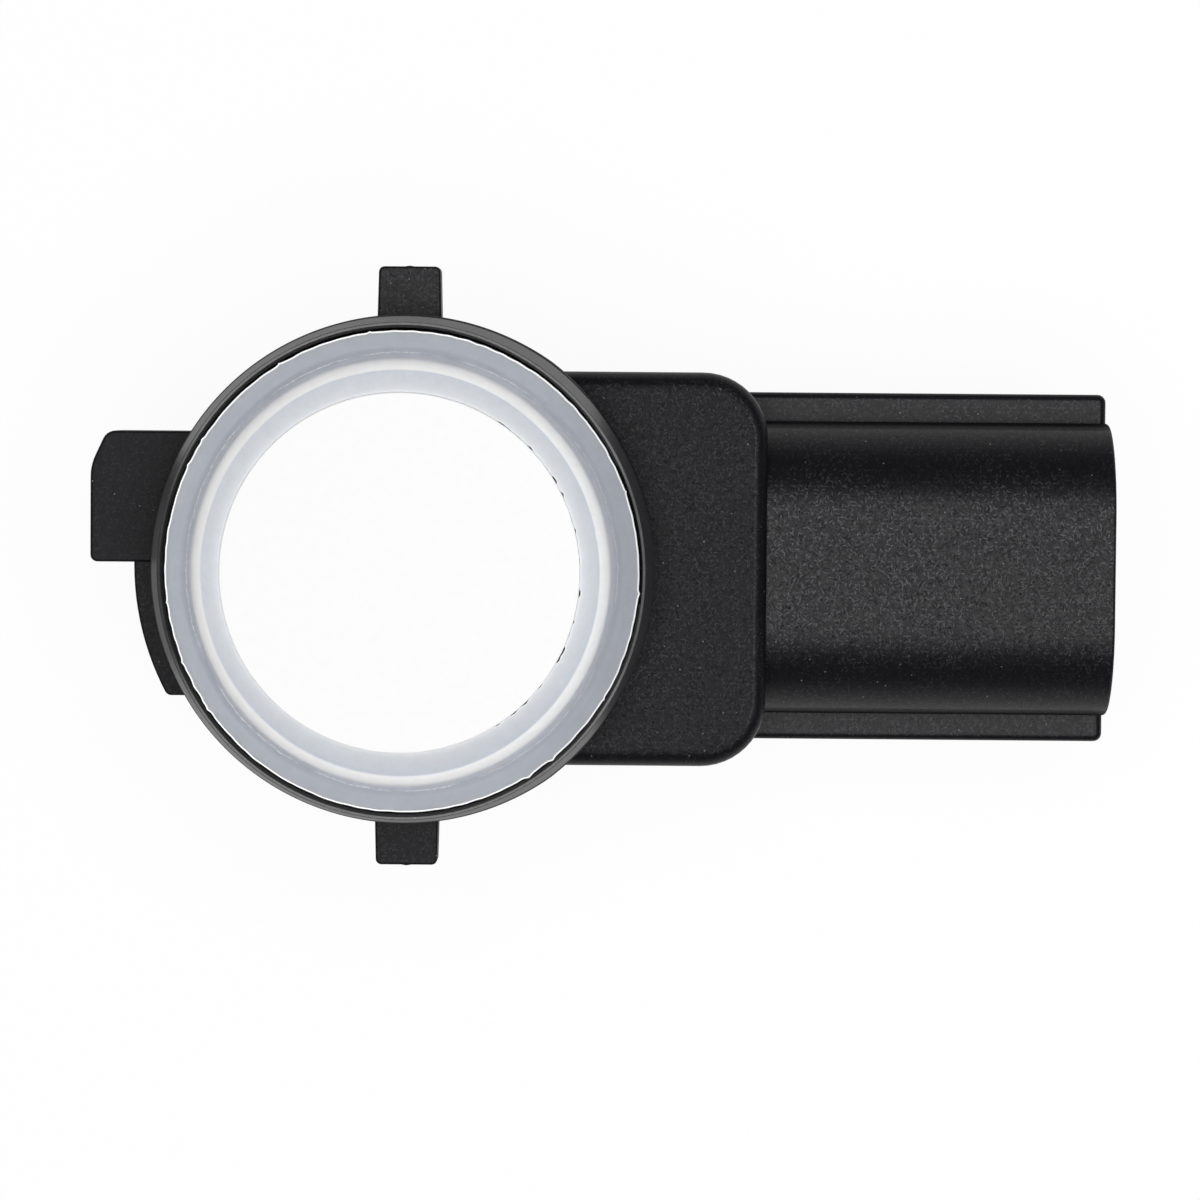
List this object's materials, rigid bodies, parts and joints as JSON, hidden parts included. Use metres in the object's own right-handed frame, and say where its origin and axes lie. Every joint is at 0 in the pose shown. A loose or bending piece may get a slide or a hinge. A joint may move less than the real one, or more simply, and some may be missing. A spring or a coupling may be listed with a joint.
{
  "type": "parking sensor",
  "caption": "Ultrasonic bumper sensor: painted membrane in a soft silicone ring on a round head, flat electronics box, keyed side connector and retaining lugs.",
  "frame": {"origin": "on the head axis, at the flat back of the sensor", "axes": "+Z out of the membrane along the head axis, +X from the head towards the connector mouth"},
  "size_m": [0.0441, 0.0258, 0.0215],
  "materials": {
    "housing_plastic": "moulded, fine matte grain with glass fibre",
    "cover_plastic": "moulded, matte",
    "silicone": "translucent moulded silicone, satin",
    "membrane_paint": "white primer paint on drawn aluminium",
    "piezo_ceramic": "sintered, silvered faces",
    "damping_foam": "cast silicone foam",
    "carrier_plastic": "moulded",
    "tinned_brass": "tin plated",
    "copper": "enamelled wire",
    "laminate": "solder resist on glass laminate",
    "chip_epoxy": "moulded epoxy",
    "ferrite": "pressed and sintered",
    "capacitor_epoxy": "moulded epoxy",
    "capacitor_ceramic": "sintered"
  },
  "bodies": {
    "root": {"housing": "housing_plastic", "decoupling_ring": "silicone", "membrane_pot": "membrane_paint", "piezo_disc": "piezo_ceramic", "damping_plug": "damping_foam", "contact_carrier": "carrier_plastic", "contact_pin_hot": "tinned_brass", "contact_pin_return": "tinned_brass", "lead_hot": "copper", "lead_return": "copper", "circuit_board": "laminate", "control_chip": "chip_epoxy", "transformer_core": "ferrite", "transformer_winding": "copper", "storage_capacitor": "capacitor_epoxy", "protection_diode": "chip_epoxy", "ceramic_capacitors": "capacitor_ceramic", "resistors": "chip_epoxy", "terminal_supply": "tinned_brass", "terminal_signal": "tinned_brass", "terminal_ground": "tinned_brass", "rear_cover": "cover_plastic"}
  },
  "joints": []
}
